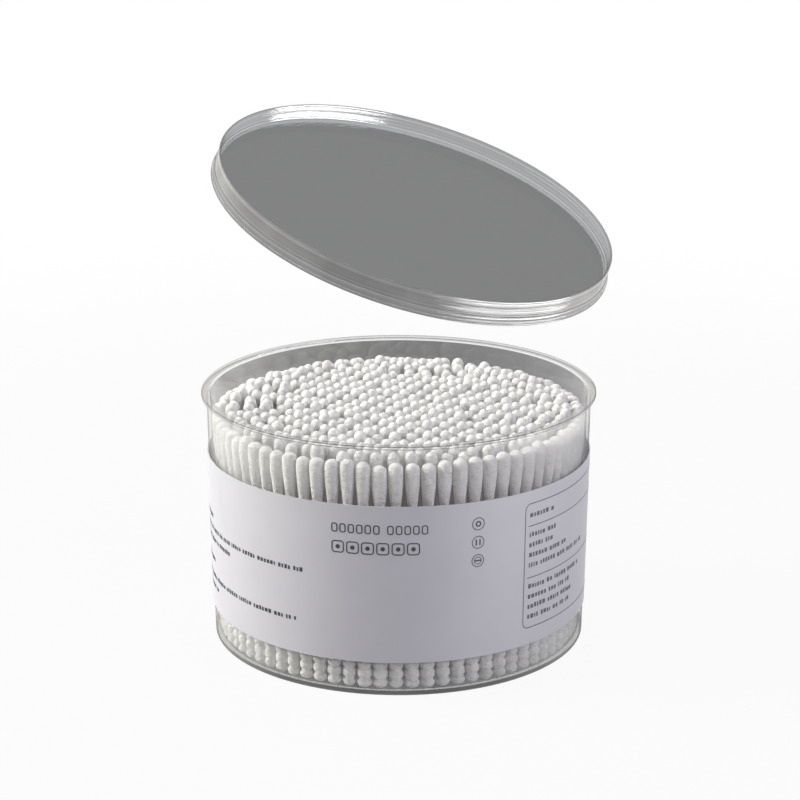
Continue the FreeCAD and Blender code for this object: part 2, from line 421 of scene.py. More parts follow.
@dataclass(frozen=True)
class Cotton:
    """Wound cotton: matt and soft, with fine strands round each tip, and painted shade between the tips."""

    light: Triple = (0.9, 0.893, 0.887)
    shade: Triple = (0.73, 0.712, 0.705)
    patch_scale: float = 330.0
    strand_scale: float = 560.0
    strand_stretch: float = 2.6
    strand_depth: float = 0.0011
    strand_strength: float = 0.8
    strand_heights: tuple[float, float] = (0.34, 0.52)
    strand_shade: float = 0.6
    # share of the cotton's colour that is left at full painted shade between the tips
    painted_shade_share: float = 0.84
    roughness: float = 0.95
    gleam: float = 0.15
    fuzz: float = 0.25
    fuzz_roughness: float = 0.5

    def material(self, groups: Groups) -> bpy.types.Material:
        """The cotton's material.

        Args:
            groups: The shared shader groups.

        Returns:
            The new material.
        """
        material, graph, out = new_material("cotton")
        place = graph.place()
        patches = use_group(graph, groups.mottle, Place=place, Scale=self.patch_scale)
        strands = use_group(
            graph, groups.fibres, Place=place, Scale=self.strand_scale, Stretch=self.strand_stretch
        )
        raised = graph.step(strands, *self.strand_heights, 0.0, self.strand_shade)
        tone = graph.math("ADD", graph.math("MULTIPLY", patches, 1 - self.strand_shade), raised)
        bump = graph.node("Bump", {
            "Height": strands, "Distance": self.strand_depth, "Strength": self.strand_strength,
        })
        # painted shade: the cotton is darker lower down the inner tips, where they lie between their
        # neighbours
        painted_shade = graph.node("Attribute", attribute_name=PAINTED_SHADE_ATTRIBUTE).outputs["Fac"]
        painted_shade_factor = graph.math("MULTIPLY_ADD", painted_shade, self.painted_shade_share - 1.0, 1.0)
        colour = graph.blend(tone, rgba(self.shade), rgba(self.light))
        colour = graph.node("VectorMath", {0: colour, "Scale": painted_shade_factor}, operation="SCALE").outputs[0]
        shader = graph.node("BsdfPrincipled", {
            "Base Color": colour,
            "Roughness": self.roughness,
            "Specular IOR Level": self.gleam,
            "Sheen Weight": self.fuzz,
            "Sheen Roughness": self.fuzz_roughness,
            "Normal": bump.outputs[0],
        })
        graph.tree.links.new(shader.outputs[0], out.inputs[0])
        return material


@dataclass(frozen=True)
class Bamboo:
    """Plain bamboo: long grain along the stick."""

    light: Triple = (0.5, 0.33, 0.25)
    shade: Triple = (0.3, 0.17, 0.13)
    grain_scale: float = 1500.0
    grain_stretch: float = 0.03
    grain_depth: float = 0.0001
    grain_strength: float = 0.4
    roughness: float = 0.6

    def material(self, groups: Groups) -> bpy.types.Material:
        """The bamboo's material.

        Args:
            groups: The shared shader groups.

        Returns:
            The new material.
        """
        material, graph, out = new_material("bamboo")
        grain = use_group(
            graph, groups.fibres, Place=graph.place(), Scale=self.grain_scale, Stretch=self.grain_stretch
        )
        bump = graph.node("Bump", {
            "Height": grain, "Distance": self.grain_depth, "Strength": self.grain_strength,
        })
        shader = graph.node("BsdfPrincipled", {
            "Base Color": graph.blend(grain, rgba(self.shade), rgba(self.light)),
            "Roughness": self.roughness,
            "Normal": bump.outputs[0],
        })
        graph.tree.links.new(shader.outputs[0], out.inputs[0])
        return material


@dataclass(frozen=True)
class Film:
    """The label's film, or the ink on it: satin, with a faint unevenness."""

    name: str
    light: Triple
    shade: Triple
    roughness: float
    ripple_depth: float
    ripple_scale: float = 45.0
    ripple_strength: float = 0.5
    patch_scale: float = 60.0
    grain_scale: float = 900.0
    grain_spread: float = 0.04

    def material(self, groups: Groups) -> bpy.types.Material:
        """The film's material.

        Args:
            groups: The shared shader groups.

        Returns:
            The new material.
        """
        material, graph, out = new_material(self.name)
        place = graph.place()
        tone = use_group(graph, groups.mottle, Place=place, Scale=self.patch_scale)
        satin = use_group(
            graph, groups.mottle, Place=place, Scale=self.grain_scale,
            Low=self.roughness - self.grain_spread, High=self.roughness + self.grain_spread,
        )
        shader = graph.node("BsdfPrincipled", {
            "Base Color": graph.blend(tone, rgba(self.shade), rgba(self.light)),
            "Roughness": satin,
            "Normal": groups.ripples(
                graph, place, self.ripple_scale, self.ripple_depth, self.ripple_strength
            ),
        })
        graph.tree.links.new(shader.outputs[0], out.inputs[0])
        return material


LABEL_FILM = Film("label_film", (0.57, 0.561, 0.612), (0.55, 0.541, 0.592), 0.42, 0.0002)
LABEL_INK = Film("label_ink", (0.05, 0.05, 0.065), (0.03, 0.03, 0.045), 0.4, 0.0)


@dataclass(frozen=True)
class ClearPlastic:
    """Clear moulded plastic with a light smoke tint.

    Each wall has two faces. What is seen straight through a face takes the face's tint, deeper
    towards the edges of the view, where the way through the plastic is longer. A veil of fine haze
    thickens in the same way, and a gloss lies over both. Lamps shine through almost unweakened, and
    so does what other surfaces reflect.

    Attributes:
        name: Name of the material.
        gloss: Strength of the clear reflection, for a face and the one behind it together.
        most_gloss: Greatest share that the reflection may take.
        refraction: Index of refraction.
        roughness: Roughness of the reflection.
        haze_colour: Colour of the haze.
        cast: Colour of the tint, at full strength.
        edge_tint: Share of the tinted light that is left at the very edge.
        edge_power: How closely the darker edge keeps to the outline.
        line_tint: Share that is left along a thin line at the outline itself.
        line_from: Slant at which that line starts, from 0 when seen square on to 1.
        line_to: Slant at which it is full.
        least_square: Least squareness to the view that the haze reckons with.
        haze_power: How fast the haze thickens with the slant.
        most_haze: Greatest cover that the haze may have.
        lamp_share: Share of that light that a face lets through.
    """

    name: str
    gloss: float = 1.5
    most_gloss: float = 0.12
    refraction: float = 1.5
    roughness: float = 0.05
    haze_colour: Triple = (0.88, 0.872, 0.868)
    cast: Triple = (1.0, 0.998, 0.998)
    edge_tint: float = 0.62
    edge_power: float = 6.0
    line_tint: float = 0.6
    line_from: float = 0.84
    line_to: float = 0.93
    least_square: float = 0.12
    haze_power: float = 2.0
    most_haze: float = 0.45
    lamp_share: float = 0.97

    def shader(self, graph: Graph, tint: Any, haze: Any, normal: Any, shine: Any = 1.0) -> Socket:
        """The plastic's shader.

        Args:
            graph: The material's graph.
            tint: Share of what is behind that shows through a face.
            haze: Cover of the haze where a face is seen square on.
            normal: Direction of the face, with its fine marks.
            shine: Share of the clear reflection that the face keeps.

        Returns:
            The shader's output.
        """
        facing = graph.node("LayerWeight").outputs["Facing"]
        square = graph.math("MAXIMUM", graph.math("SUBTRACT", 1.0, facing), self.least_square)
        square = graph.math("POWER", square, self.haze_power)
        edge = graph.math("POWER", facing, self.edge_power)
        darker = graph.math("MULTIPLY", tint, self.edge_tint)
        through = graph.between(edge, tint, darker)
        line = graph.step(facing, self.line_from, self.line_to, 1.0, self.line_tint)
        through = graph.math("MULTIPLY", through, line)
        tinted = graph.node("VectorMath", {0: self.cast, "Scale": through}, operation="SCALE")
        clear = graph.node("BsdfTransparent", {"Color": tinted.outputs[0]})
        cover = graph.math("MINIMUM", graph.math("DIVIDE", haze, square), self.most_haze)
        front = graph.node("BsdfDiffuse", {"Color": rgba(self.haze_colour)})
        behind = graph.node("BsdfTranslucent", {"Color": rgba(self.haze_colour)})
        veil = graph.node("MixShader", {0: 0.5, 1: front.outputs[0], 2: behind.outputs[0]})
        body = graph.node("MixShader", {0: cover, 1: clear.outputs[0], 2: veil.outputs[0]})
        reflection = graph.node("BsdfGlossy", {
            "Color": rgba((1.0, 1.0, 1.0)), "Roughness": self.roughness, "Normal": normal,
        })
        fresnel = graph.node("Fresnel", {"IOR": self.refraction, "Normal": normal}).outputs[0]
        outer = graph.math("SUBTRACT", 1.0, graph.node("NewGeometry").outputs["Backfacing"])
        share = graph.math("MULTIPLY", graph.math("MULTIPLY", fresnel, outer), self.gloss)
        share = graph.math("MULTIPLY", graph.math("MINIMUM", share, self.most_gloss), shine)
        seen = graph.node("MixShader", {0: share, 1: body.outputs[0], 2: reflection.outputs[0]})
        path = graph.node("LightPath")
        from_lamp = graph.math("MAXIMUM", path.outputs["Is Shadow Ray"], path.outputs["Is Diffuse Ray"])
        indirect = graph.math("MAXIMUM", from_lamp, path.outputs["Is Glossy Ray"])
        passed = graph.node("BsdfTransparent", {"Color": rgba((self.lamp_share,) * 3)})
        return graph.node("MixShader", {0: indirect, 1: seen.outputs[0], 2: passed.outputs[0]}).outputs[0]


# ---------------------------------------------------------------- swabs


@dataclass
class SwabPlaces:
    """Where the swabs of one group stand.

    Attributes:
        feet: Lowest point of each swab, on its axis.
        axes: Direction of each swab from its foot to its top, one unit long.
        lengths: Length of each swab.
    """

    feet: np.ndarray
    axes: np.ndarray
    lengths: np.ndarray

    @classmethod
    def read(cls, node: bpy.types.Object, cover: float) -> "SwabPlaces":
        """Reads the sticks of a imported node.

        The corners that coincide are taken as one, those that share a triangle belong to one
        stick, and the middles of a stick's two ends give its axis.

        Args:
            node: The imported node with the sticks.
            cover: Length of cotton past each end of a stick.

        Returns:
            The places of the swabs.
        """
        mesh = node.data
        mesh.calc_loop_triangles()
        points = np.empty(len(mesh.vertices) * 3)
        mesh.vertices.foreach_get("co", points)
        corners = np.empty(len(mesh.loop_triangles) * 3, dtype=np.int64)
        mesh.loop_triangles.foreach_get("vertices", corners)
        _, first, same = np.unique(
            np.round(points.reshape(-1, 3) / WELD), axis=0, return_index=True, return_inverse=True
        )
        places = points.reshape(-1, 3)[first]
        corners = same.ravel()[corners].reshape(-1, 3)
        owner = np.arange(len(places))
        settled = False
        while not settled:
            lowest = owner[corners].min(axis=1)
            joined_owner = owner.copy()
            np.minimum.at(joined_owner, corners.ravel(), np.repeat(lowest, 3))
            joined_owner = joined_owner[joined_owner]
            settled = bool((joined_owner == owner).all())
            owner = joined_owner
        _, stick = np.unique(owner, return_inverse=True)
        count = stick.max() + 1
        middle = np.bincount(stick, places[:, 2], count) / np.bincount(stick, minlength=count)
        upper = places[:, 2] > middle[stick]
        ends = []
        for side in (~upper, upper):
            many = np.bincount(stick[side], minlength=count)
            sums = [np.bincount(stick[side], places[side, axis], count) / many for axis in range(3)]
            ends.append(np.stack(sums, axis=-1))
        run = ends[1] - ends[0]
        length = np.linalg.norm(run, axis=1)
        axes = run / length[:, None]
        return cls(ends[0] - axes * cover, axes, length + 2 * cover)

    def swayed(self, shift: np.ndarray) -> "SwabPlaces":
        """The same swabs with their tops moved a little sideways, on the same feet.

        Args:
            shift: How far each top moves along X and Y.

        Returns:
            The leaning swabs.
        """
        run = self.axes * self.lengths[:, None]
        run[:, :2] += shift
        return SwabPlaces(self.feet, run / np.linalg.norm(run, axis=1)[:, None], self.lengths)

    @staticmethod
    def settled(
        start: np.ndarray, wall: np.ndarray, pitch: float, rounds: int = 240,
        pace: float = 0.12, wall_push: float = 0.35, wall_slip: float = 1.3,
    ) -> np.ndarray:
        """Places of the tops once they have leant into the room between them.

        In each round, every pair nearer than the pitch is pushed apart by a share of what it lacks.
        The tops at the wall keep their places, and push the others mostly along the wall, so that
        those slip into the gaps between them.

        Args:
            start: Places of the tops, as X and Y.
            wall: Whether a top is at the wall.
            pitch: The distance that the tops try to keep.
            rounds: How many rounds.
            pace: Share of the push that a round gives way to.
            wall_push: Share of the straight push that a top at the wall gives.
            wall_slip: Share of the push along the wall that it adds.

        Returns:
            The new places along X and Y.
        """
        places = start.copy()
        count = len(places)
        for _ in range(rounds):
            apart = places[:, None] - places[None]
            far = np.linalg.norm(apart, axis=-1) + np.eye(count)
            push = np.maximum(pitch - far, 0.0) * (1 - np.eye(count))
            moves = apart / far[..., None] * push[..., None]
            along = np.stack([-places[:, 1], places[:, 0]], axis=-1)
            along /= np.linalg.norm(along, axis=1)[:, None]
            slip = (moves * along[:, None]).sum(axis=-1)[..., None] * along[:, None]
            moves = np.where(wall[None, :, None], wall_push * moves + wall_slip * slip, moves)
            places += np.where(wall[:, None], 0.0, moves.sum(axis=1) * pace)
        return places

    def standing(self, shape: np.ndarray, spin: np.ndarray, start: np.ndarray) -> np.ndarray:
        """Copies of a shape stood on the swabs' axes.

        A point (x, y, z) of a copy goes to foot + axis * (start + z) + side * x' + front * y', where
        (x', y') is (x, y) turned by the copy's spin, and side and front are level unit vectors
        square to the axis.

        Args:
            shape: Points of each copy, as copies by points by three.
            spin: Turn of each copy about its axis, in radians.
            start: Height of each copy's origin above the foot, along the axis.

        Returns:
            The points of all the copies.
        """
        side = np.cross(np.array([0.0, 1.0, 0.0]), self.axes)
        side /= np.linalg.norm(side, axis=1)[:, None]
        front = np.cross(self.axes, side)
        cos, sin = np.cos(spin)[:, None], np.sin(spin)[:, None]
        x = (shape[..., 0] * cos - shape[..., 1] * sin)[..., None]
        y = (shape[..., 0] * sin + shape[..., 1] * cos)[..., None]
        z = (shape[..., 2] + start[:, None])[..., None]
        return self.feet[:, None] + x * side[:, None] + y * front[:, None] + z * self.axes[:, None]


def rounded_between(points: np.ndarray, count: int) -> np.ndarray:
    """A smooth run through a few points, as a Catmull-Rom curve.

    Between two points p1 and p2 with neighbours p0 and p3, the place at share t is half of
    2 p1 + (p2 - p0) t + (2 p0 - 5 p1 + 4 p2 - p3) t^2 + (3 p1 - p0 - 3 p2 + p3) t^3.

    Args:
        points: The points that it passes.
        count: How many points to give back.

    Returns:
        The points along the run.
    """
    given = np.concatenate([2 * points[:1] - points[1:2], points, 2 * points[-1:] - points[-2:-1]])
    way = np.linspace(0, len(points) - 1, count)
    span = np.minimum(way.astype(int), len(points) - 2)
    t = (way - span)[:, None]
    p0, p1, p2, p3 = (given[span + step] for step in range(4))
    return 0.5 * (
        2 * p1 + (p2 - p0) * t + (2 * p0 - 5 * p1 + 4 * p2 - p3) * t**2 + (3 * p1 - p0 - 3 * p2 + p3) * t**3
    )


@dataclass
class Swabs:
    """All the swabs: sticks, round tips on top and lobed tips at the foot, group by group.

    The row at the wall, which is seen from close by, has finer tips than the rows behind it. An
    outline gives radii as shares of the widest radius, and heights in millimetres below the crest
    of a round tip, or as shares of a lobe above the nose, or above the groove, of a lobed one.
    """

    stick_diameter_mm: float = 2.3
    stick_cover_mm: float = 2.6
    stick_segments: int = 8
    top_length_mm: float = 16.5
    top_diameter_mm: float = 4.05
    top_outline: Pairs = ((0.88, 7.0), (1.0, 3.2), (0.93, 1.7), (0.73, 0.75), (0.4, 0.18))
    top_neck_depth_mm: float = 12.0
    wall_top_diameter_mm: float = 4.6
    wall_top_outline: Pairs = (
        (0.67, 13.2), (0.8, 10.3), (0.93, 7.2), (1.0, 4.2), (0.96, 2.0), (0.84, 0.9), (0.5, 0.2),
    )
    wall_top_rings: int = 15
    wall_top_segments: int = 14
    wall_neck_share: float = 0.97
    top_pitch_mm: float = 5.4
    most_lean_mm: float = 2.7
    zigzag_mm: float = 0.7
    neck_diameter_mm: float = 2.9
    foot_diameter_mm: float = 4.6
    foot_groove_mm: float = 3.3
    foot_lobes: int = 3
    foot_lobe_mm: float = 3.1
    foot_taper_mm: float = 4.2
    foot_outline: Pairs = ((0.7, 0.12), (1.0, 0.6))
    foot_end_share: float = 0.97
    wall_foot_nose: Pairs = ((0.45, 0.04), (0.86, 0.26), (1.0, 0.6))
    wall_foot_lobe: Pairs = ((0.97, 0.28), (0.97, 0.72))
    wall_foot_taper: tuple[float, float] = (0.9, 0.3)
    wall_foot_segments: int = 12
    inner_segments: int = 10
    size_spread: float = 0.06
    lump: float = 0.05
    lump_waves: tuple[float, float] = (2.0, 7.0)
    rise_mm: float = 0.32
    proud_rise_mm: float = 1.2
    proud_least: float = 0.7
    proud_share: float = 0.025
    sway_mm: float = 0.12
    wall_sway: float = 0.3
    inner_sway: float = 2.0
    # depths below the crest over which the painted shade between the tips grows to full
    painted_shade_depths_mm: tuple[float, float] = (0.8, 3.0)

    def __post_init__(self) -> None:
        """Starts the draws that tell one swab from another."""
        self.chance = np.random.default_rng(SEED)

    def top_shape(self, fine: bool) -> Surface:
        """The round tip: a teardrop with its neck at height 0 and its dome upwards, in metres.

        Args:
            fine: Whether it is for the row at the wall.

        Returns:
            The tip's surface.
        """
        length, neck = self.top_length_mm, self.neck_diameter_mm / 2
        if fine:
            belly, outline = self.wall_top_diameter_mm / 2, self.wall_top_outline
            start, segments = (neck * self.wall_neck_share, 0.0), self.wall_top_segments
        else:
            belly, outline = self.top_diameter_mm / 2, self.top_outline
            start, segments = (neck, length - self.top_neck_depth_mm), self.inner_segments
        rise = np.array([start] + [(belly * share, length - down) for share, down in outline])
        rise = rounded_between(rise, self.wall_top_rings) if fine else rise
        shape = turned(rise * MM, segments)
        shape.points[-1, 2] = length * MM
        return shape

    def foot_shape(self, fine: bool) -> Surface:
        """The lobed tip: nose down at height 0, full lobes and a winding that runs out, in metres.

        Args:
            fine: Whether it is for the row at the wall.

        Returns:
            The tip's surface.
        """
        crest, groove, lobe = self.foot_diameter_mm / 2, self.foot_groove_mm / 2, self.foot_lobe_mm
        end = self.foot_lobes * lobe
        if fine:
            rings = [(crest * share, lobe * up) for share, up in self.wall_foot_nose] + [(groove, lobe)]
            for number in range(1, self.foot_lobes):
                low = number * lobe
                rings += [(crest * share, low + lobe * up) for share, up in self.wall_foot_lobe]
                rings.append((groove, low + lobe))
            share, up = self.wall_foot_taper
            rings.append((crest * share, end + self.foot_taper_mm * up))
        else:
            rings = [(crest * share, lobe * up) for share, up in self.foot_outline]
            rings.append((crest * self.foot_end_share, end))
        rings.append((self.neck_diameter_mm / 2, end + self.foot_taper_mm))
        shape = turned(np.array(rings) * MM, self.wall_foot_segments if fine else self.inner_segments)
        shape.points[-2, 2] = 0.0
        return shape

    def lumpy(self, shape: Surface, count: int) -> np.ndarray:
        """Copies of a tip, each a little larger or smaller and unevenly wound.

        A copy's radius is multiplied by size * (1 + lump * (cos(2 a + k h + p) + cos(3 a - q h + s)) / 2)
        at angle a and height h, with its own size, wave numbers k and q and phases p and s.

        Args:
            shape: The tip.
            count: How many copies.

        Returns:
            The points of the copies.
        """
        points = np.broadcast_to(shape.points, (count, *shape.points.shape)).copy()
        angle = np.arctan2(shape.points[:, 1], shape.points[:, 0])[None]
        height = shape.points[:, 2][None] / (shape.points[:, 2].max())
        size = 1 + self.size_spread * self.chance.uniform(-1, 1, (count, 1))
        k, q = self.chance.uniform(*self.lump_waves, (2, count, 1))
        p, s = self.chance.uniform(0, 2 * np.pi, (2, count, 1))
        uneven = np.cos(2 * angle + k * height + p) + np.cos(3 * angle - q * height + s)
        points[..., :2] *= (size * (1 + self.lump * uneven / 2))[..., None]
        return points

    def leans(self, groups: dict[str, SwabPlaces]) -> dict[str, np.ndarray]:
        """How far the top of each swab leans sideways, group by group.

        The tops of the second row start in the nearest gaps of the row at the wall, and those of
        the other rows start by turns a little further out and in. Then all of them settle.

        Args:
            groups: Places of the swabs of each group.

        Returns:
            Shifts along X and Y.
        """
        tops = np.concatenate([one.feet + one.axes * one.lengths[:, None] for one in groups.values()])[:, :2]
        names = np.repeat(list(groups), [len(one.feet) for one in groups.values()])
        wall = names == WALL_ROW
        second = names == SECOND_ROW
        inner_ring = np.char.startswith(names, "ring_") & ~wall & ~second
        turn = np.arctan2(tops[:, 1], tops[:, 0])
        order = np.concatenate([np.argsort(np.argsort(turn[names == name])) for name in groups])
        gaps = np.sort(turn[wall])
        gaps += np.diff(gaps, append=gaps[0] + 2 * np.pi) / 2
        away = (gaps[None] - turn[:, None] + np.pi) % (2 * np.pi) - np.pi
        nearest = np.take_along_axis(away, np.abs(away).argmin(axis=1)[:, None], axis=1)[:, 0]
        turn += np.where(second, nearest, 0.0)
        step = np.where(order % 2 == 0, 1.0, -1.0) * inner_ring * self.zigzag_mm * MM
        reach = np.linalg.norm(tops, axis=1) + step
        start = np.stack([reach * np.cos(turn), reach * np.sin(turn)], axis=-1)
        sway = self.chance.normal(0, self.sway_mm * MM, tops.shape)
        start += np.where(wall[:, None], self.wall_sway, self.inner_sway) * sway
        shift = SwabPlaces.settled(start, wall, self.top_pitch_mm * MM) - tops
        far = np.maximum(np.linalg.norm(shift, axis=1), TINY)
        shift *= np.minimum(1.0, self.most_lean_mm * MM / far)[:, None]
        places = tops + shift
        apart = np.linalg.norm(places[:, None] - places[None], axis=-1) + np.eye(len(places))
        most = np.linalg.norm(shift, axis=1).max()
        log.info("swabs lean up to %.2f mm, nearest tops %.2f mm", most / MM, apart.min() / MM)
        return {name: shift[names == name] for name in groups}

    def painted_shade_amounts(self, top: Surface, fine: bool) -> np.ndarray:
        """How much painted shade each point of a round tip gets where it lies between its neighbours, from 0
        to 1.

        The painted shade grows evenly with the depth below the crest, from one depth to another.
        The row at the wall has none.

        Args:
            top: The tip.
            fine: Whether it is for the row at the wall.

        Returns:
            One value for each point.
        """
        start, end = self.painted_shade_depths_mm
        depth = self.top_length_mm - top.points[:, 2] / MM
        return np.clip((depth - start) / (end - start), 0.0, 1.0) * (not fine)

    def rises(self, count: int, fine: bool) -> np.ndarray:
        """How far each tip stands above its place, in millimetres: a bell curve, and a few proud ones.

        Args:
            count: How many tips.
            fine: Whether they are the row at the wall, where none stands proud.

        Returns:
            One value for each tip.
        """
        rise = np.clip(self.chance.normal(0, self.rise_mm, count), -2 * self.rise_mm, 2 * self.rise_mm)
        proud = self.chance.random(count) < (0.0 if fine else self.proud_share)
        return np.where(proud, self.proud_rise_mm * self.chance.uniform(self.proud_least, 1.0, count), rise)

    def build(self, cotton: bpy.types.Material, bamboo: bpy.types.Material) -> None:
        """Makes every group's pieces.

        Args:
            cotton: Finish of the tips.
            bamboo: Finish of the sticks.
        """
        radius = self.stick_diameter_mm / 2 * MM
        stick = turned(np.array([[radius, 0.0], [radius, 1.0]]), self.stick_segments)
        nodes = sorted(node for node in frame["nodes"] if node.startswith("sticks_"))
        groups = {
            name.removeprefix("sticks_"): SwabPlaces.read(frame["nodes"][name], self.stick_cover_mm * MM)
            for name in nodes
        }
        leans = self.leans(groups)
        for group, places in groups.items():
            fine = group == WALL_ROW
            top, foot = self.top_shape(fine), self.foot_shape(fine)
            count = len(places.feet)
            spin = self.chance.uniform(0, 2 * np.pi, (3, count))
            tall = places.lengths + self.rises(count, fine) * MM
            swabs = places.swayed(leans[group])
            tops = swabs.standing(self.lumpy(top, count), spin[0], tall - self.top_length_mm * MM)
            feet = places.standing(self.lumpy(foot, count), spin[1], np.zeros(count))
            rods = np.broadcast_to(stick.points, (count, *stick.points.shape)).copy()
            rods[..., 2] *= (tall - 2 * self.stick_cover_mm * MM)[:, None]
            rods = swabs.standing(rods, spin[2], np.full(count, self.stick_cover_mm * MM))
            made = [
                (top.repeated(tops), "swab_tops", "round_tips", cotton, Slot.COTTON),
                (foot.repeated(feet), "swab_feet", "spiral_tips", cotton, Slot.COTTON),
                (stick.repeated(rods), "swab_sticks", "sticks", bamboo, Slot.BAMBOO),
            ]
            for surface, kind, replaced, material, slot in made:
                piece = surface.piece(f"{kind}_{group}")
                piece.data.materials.append(material)
                if kind == "swab_tops":
                    # painted shade between the tips, one value for each point
                    painted_shade = np.tile(self.painted_shade_amounts(top, fine), count).astype(np.float32)
                    piece.data.attributes.new(PAINTED_SHADE_ATTRIBUTE, "FLOAT", "POINT").data.foreach_set("value", painted_shade)
                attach(piece, TUB_BODY)
                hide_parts(f"{replaced}_{group}")
                log.info("%s: %d swabs, %d faces", piece.name, count, len(piece.data.polygons))


# ---------------------------------------------------------------- label and print


@dataclass
class LabelPrint:
    """Plain print on the label: marks, rings and a ruled panel, as thin ink on its face.

    Distances run round the label from the middle of its front, and heights from the tub's foot. A
    row of fine print is given by its start, its end and its height, a ring by its radius, its stroke
    and its number of steps, and a box of the title by its width, its lower and its upper edge.
    """

    lift_mm: float = 0.02
    ink_mm: float = 0.02
    column_mm: float = 1.5
    corner_steps: int = 6
    title_runs: tuple[tuple[float, int], ...] = ((-20.3, 6), (-3.4, 5))
    title_pitch_mm: float = 2.55
    title_box_mm: Triple = (1.95, 52.2, 55.1)
    title_corner_mm: float = 0.75
    second_boxes: int = 6
    second_pitch_mm: float = 4.55
    second_box_mm: Triple = (3.9, 45.7, 49.6)
    second_corner_mm: float = 1.0
    title_stroke_mm: float = 0.36
    dot_ring: tuple[float, float, int] = (0.7, 0.69, 16)
    icon_column_mm: float = 24.25
    icon_heights_mm: Triple = (54.0, 48.15, 42.3)
    icon_ring_mm: tuple[float, float] = (2.05, 0.28)
    icon_inner: tuple[float, float, int] = (0.95, 0.5, 20)
    icon_minus_ring: tuple[float, float, int] = (1.25, 0.25, 24)
    icon_bar_mm: tuple[float, float] = (2.0, 0.5)
    icon_bar_starts_mm: tuple[float, float] = (-0.85, 0.35)
    panel_box_mm: tuple[float, float, float, float] = (41.0, 96.0, 16.3, 57.0)
    panel_corner_mm: float = 2.2
    panel_stroke_mm: float = 0.3
    rule_heights_mm: tuple[float, float] = (49.5, 32.7)
    rule_start_mm: float = 42.4
    rule_size_mm: tuple[float, float] = (52.2, 0.28)
    panel_rows_mm: tuple[Triple, ...] = (
        (43.0, 54.0, 52.3),
        (43.0, 55.0, 46.0), (43.0, 53.5, 42.7), (43.0, 62.0, 39.4), (43.0, 74.0, 36.1),
        (43.0, 72.0, 29.2), (43.0, 64.0, 25.9), (43.0, 67.0, 22.6), (43.0, 64.0, 19.3),
    )
    panel_print_mm: float = 1.5
    left_rows_mm: tuple[Triple, ...] = (
        (-92.0, -79.5, 41.6), (-92.0, -29.5, 37.6), (-92.0, -63.0, 34.0),
        (-92.0, -78.5, 27.0), (-92.0, -33.5, 21.4), (-92.0, -75.0, 17.8),
    )
    left_print_mm: float = 1.4
    mark_widths: tuple[float, float] = (0.3, 0.85)
    mark_rises: tuple[float, float] = (0.0, 0.12)
    mark_heights: tuple[float, float] = (0.8, 1.0)
    mark_gap: float = 0.32
    word_gap: float = 0.6
    word_marks: tuple[int, int] = (2, 7)

    def __post_init__(self) -> None:
        """Reads the label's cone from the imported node."""
        mesh = frame["nodes"]["label"].data
        points = np.empty(len(mesh.vertices) * 3)
        mesh.vertices.foreach_get("co", points)
        points = points.reshape(-1, 3)
        radius = np.hypot(points[:, 0], points[:, 1])
        low, high = points[:, 2].min(), points[:, 2].max()
        near = 0.1 * MM
        self.low_radius = radius[points[:, 2] < low + near].max()
        self.high_radius = radius[points[:, 2] > high - near].max()
        self.low, self.high = low, high
        self.chance = np.random.default_rng(SEED)
        self.shapes: list[Surface] = []

    def wrapped(self, flat: np.ndarray) -> np.ndarray:
        """Points on the label's face.

        A flat point (s, z) goes to angle s / mean radius from the front and to the cone's radius at
        z, plus the lift.

        Args:
            flat: Distance round the label and height of each point, in millimetres.

        Returns:
            The points in metres.
        """
        height = flat[..., 1] * MM
        share = (height - self.low) / (self.high - self.low)
        radius = self.low_radius + share * (self.high_radius - self.low_radius) + self.lift_mm * MM
        turn = flat[..., 0] * MM / ((self.low_radius + self.high_radius) / 2)
        return np.stack([radius * np.sin(turn), -radius * np.cos(turn), height], axis=-1)

    def add(self, grid: np.ndarray, closed: bool = False) -> None:
        """Adds a patch of ink given as a grid of flat points, rows by columns by two."""
        rows, columns = grid.shape[:2]
        self.shapes.append(Surface(self.wrapped(grid).reshape(-1, 3), grid_quads(rows, columns, closed)))

    def bar(self, start: float, low: float, width: float, height: float) -> None:
        """A solid bar, from its left end and lower edge."""
        columns = max(2, int(width / self.column_mm) + 2)
        along = np.linspace(start, start + width, columns)
        self.add(np.stack([
            np.stack([along, np.full(columns, low)], axis=-1),
            np.stack([along, np.full(columns, low + height)], axis=-1),
        ]))

    def ring(self, centre: tuple[float, float], radius: float, stroke: float, segments: int = 40) -> None:
        """A round line: points at two radii round a centre."""
        angle = 2 * np.pi * np.arange(segments) / segments
        way = np.stack([np.cos(angle), np.sin(angle)], axis=-1)
        radii = np.array([radius, radius - stroke])[:, None, None]
        self.add(np.array(centre) + radii * way[None], closed=True)

    def outline(self, box: tuple[float, float, float, float], corner: float, stroke: float) -> None:
        """A line round a box with round corners.

        The line runs at two distances from the box's middle: the corners' centres plus the corner
        radius, and the same less the stroke, in the direction square to the line.

        Args:
            box: Left end, right end, lower edge and upper edge.
            corner: Radius of the corners.
            stroke: Width of the line.
        """
        left, right, low, high = box
        centres = np.array([(right - corner, high - corner), (left + corner, high - corner),
                            (left + corner, low + corner), (right - corner, low + corner)])
        angle = np.linspace(0, np.pi / 2, self.corner_steps)[None] + np.arange(4)[:, None] * np.pi / 2
        way = np.stack([np.cos(angle), np.sin(angle)], axis=-1)
        lines = np.stack([centres[:, None] + radius * way for radius in (corner, corner - stroke)])
        lines = lines.reshape(2, -1, 2)
        lines = np.concatenate([lines, lines[:, :1]], axis=1)
        steps = np.linalg.norm(np.diff(lines[0], axis=0), axis=-1)
        run = np.concatenate([[0.0], np.cumsum(steps)])
        places = np.union1d(run, np.arange(0, run[-1], self.column_mm))[:-1]
        self.add(np.stack([
            np.stack([np.interp(places, run, line[:, axis]) for axis in (0, 1)], axis=-1) for line in lines
        ]), closed=True)

